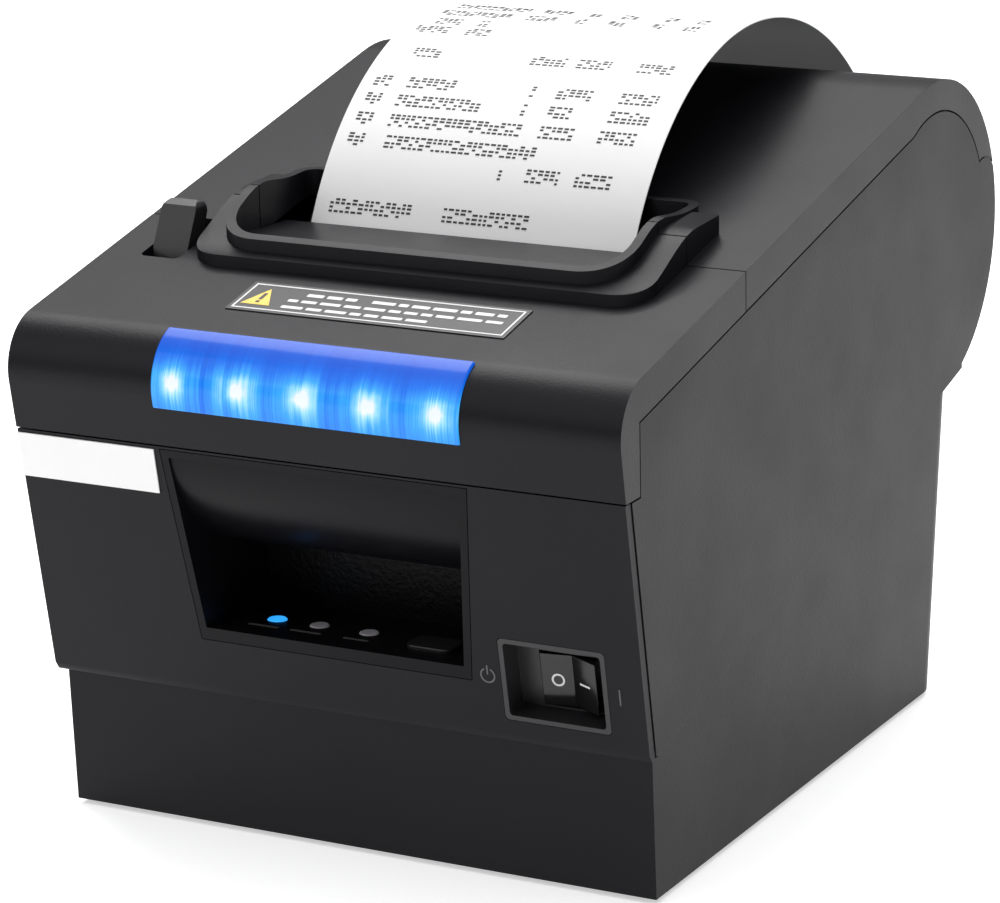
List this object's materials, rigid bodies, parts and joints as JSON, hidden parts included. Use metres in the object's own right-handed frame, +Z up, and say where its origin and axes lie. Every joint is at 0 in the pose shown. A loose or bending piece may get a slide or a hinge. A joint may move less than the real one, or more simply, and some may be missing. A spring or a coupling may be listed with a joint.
{
  "type": "receipt printer",
  "caption": "Thermal receipt printer with a rear paper lid, sliding front cover, light bar, raised paper exit, front recess with lamps and a printed receipt.",
  "frame": {"origin": "middle of the printer's footprint, on the surface it stands on", "axes": "+Y from the front to the rear, +X towards the power switch, +Z up"},
  "size_m": [0.145, 0.2, 0.1629],
  "materials": {
    "housing": "fine textured charcoal plastic",
    "satin_trim": "satin",
    "gloss_black": "gloss",
    "blue_lens": "translucent blue",
    "pale_lens": "clear lens",
    "circuit_board": "solder mask",
    "component_black": "moulded",
    "plated_steel": "zinc plated",
    "bright_steel": "ground",
    "plain_steel": "rolled",
    "aluminium": "extruded",
    "ceramic": "glazed",
    "brass": "machined",
    "gear_plastic": "natural",
    "rubber": "matte",
    "paper": "thermal paper",
    "card": "brown card",
    "label_film": "printed film"
  },
  "bodies": {
    "case": {"base_case": "housing", "upper_shell": "housing", "front_panel": "housing", "recess_bezel": "satin_trim", "power_light": "blue_lens", "status_lights": "pale_lens", "panel_board": "circuit_board", "switch_housing": "satin_trim", "feet": "rubber", "base_screws": "bright_steel", "main_board": "circuit_board", "board_parts": "component_black", "port_plate": "component_black", "io_ports": "plated_steel", "ballast_plate": "plain_steel", "paper_bucket": "housing", "paper_web": "paper", "mechanism_frame": "plated_steel", "head_pivot": "bright_steel", "feed_motor": "plated_steel", "gear_stud": "plated_steel", "cutter_deck": "plated_steel", "cutter_motor": "plated_steel", "hinge_pins": "bright_steel", "paper_sensor": "gloss_black", "badge_plate": "label_film"},
    "button": {"feed_button": "satin_trim"},
    "rocker": {"switch_rocker": "gloss_black"},
    "roll": {"paper_roll": "paper", "roll_core": "card"},
    "head": {"print_head": "ceramic", "heat_sink": "aluminium", "head_springs": "bright_steel"},
    "pinion": {"motor_pinion": "brass"},
    "idler": {"idler_gear": "gear_plastic"},
    "blade": {"moving_blade": "bright_steel"},
    "cutter_drive": {"cutter_shaft": "bright_steel", "reset_wheel": "gear_plastic"},
    "lever": {"release_lever": "satin_trim", "latch_hooks": "plated_steel", "lever_shaft": "bright_steel"},
    "cover": {"front_cover": "housing", "light_bar": "blue_lens", "led_board": "ceramic", "led_chips": "blue_lens", "notice_label": "label_film"},
    "lid": {"rear_lid": "housing", "lid_guide": "housing", "platen_bracket": "plated_steel", "bracket_screws": "bright_steel", "fixed_blade": "bright_steel", "platen_bushes": "gear_plastic", "receipt": "paper"},
    "platen": {"platen_rubber": "rubber", "platen_shaft": "bright_steel", "platen_gear": "gear_plastic"}
  },
  "joints": [
    {"name": "lid_hinge", "type": "hinge", "parent": "case", "child": "lid", "pos_m": [0, 0.0925, 0.1165], "axis": [-1, 0, 0], "range_deg": [0, 62]},
    {"name": "cover_slide", "type": "slide", "parent": "case", "child": "cover", "axis": [0, -1, 0], "range_m": [0, 0.04]},
    {"name": "lever_pull", "type": "hinge", "parent": "case", "child": "lever", "pos_m": [0, -0.056, 0.084], "axis": [1, 0, 0], "range_deg": [0, 6.5], "stiffness_Nm_per_rad": 0.3, "springref_deg": -2.86},
    {"name": "feed_press", "type": "slide", "parent": "case", "child": "button", "axis": [0, 0, -1], "range_m": [0, 0.0012], "stiffness_N_per_m": 250, "springref_m": -0.0004},
    {"name": "power_rocker", "type": "hinge", "parent": "case", "child": "rocker", "pos_m": [0.0535, -0.08116, 0.04677], "axis": [0, -0.1717, 0.9852], "range_deg": [0, 15]},
    {"name": "roll_spin", "type": "hinge", "parent": "case", "child": "roll", "pos_m": [0, 0.062, 0.105], "axis": [1, 0, 0], "continuous": true},
    {"name": "head_tilt", "type": "hinge", "parent": "case", "child": "head", "pos_m": [0, -0.02854, 0.09026], "axis": [1, 0, 0], "range_deg": [0, 3], "stiffness_Nm_per_rad": 1.2, "springref_deg": -2.86},
    {"name": "platen_spin", "type": "hinge", "parent": "lid", "child": "platen", "pos_m": [0, -0.0221, 0.1065], "axis": [1, 0, 0], "continuous": true},
    {"name": "idler_spin", "type": "hinge", "parent": "case", "child": "idler", "pos_m": [-0.055, -0.02626, 0.08847], "axis": [1, 0, 0], "continuous": true},
    {"name": "motor_spin", "type": "hinge", "parent": "case", "child": "pinion", "pos_m": [-0.055, -0.04076, 0.08847], "axis": [1, 0, 0], "continuous": true},
    {"name": "cutter_spin", "type": "hinge", "parent": "case", "child": "cutter_drive", "pos_m": [0, -0.062, 0.101], "axis": [1, 0, 0], "range_deg": [-98, 0]},
    {"name": "blade_slide", "type": "slide", "parent": "case", "child": "blade", "axis": [0, 1, 0], "range_m": [0, 0.01197]}
  ],
  "couplings": [
    {"joint": "idler_spin", "follows": "platen_spin", "ratio": -0.68182},
    {"joint": "motor_spin", "follows": "platen_spin", "ratio": 2.1429},
    {"joint": "cutter_spin", "follows": "blade_slide", "rad_per_m": -142.86}
  ]
}
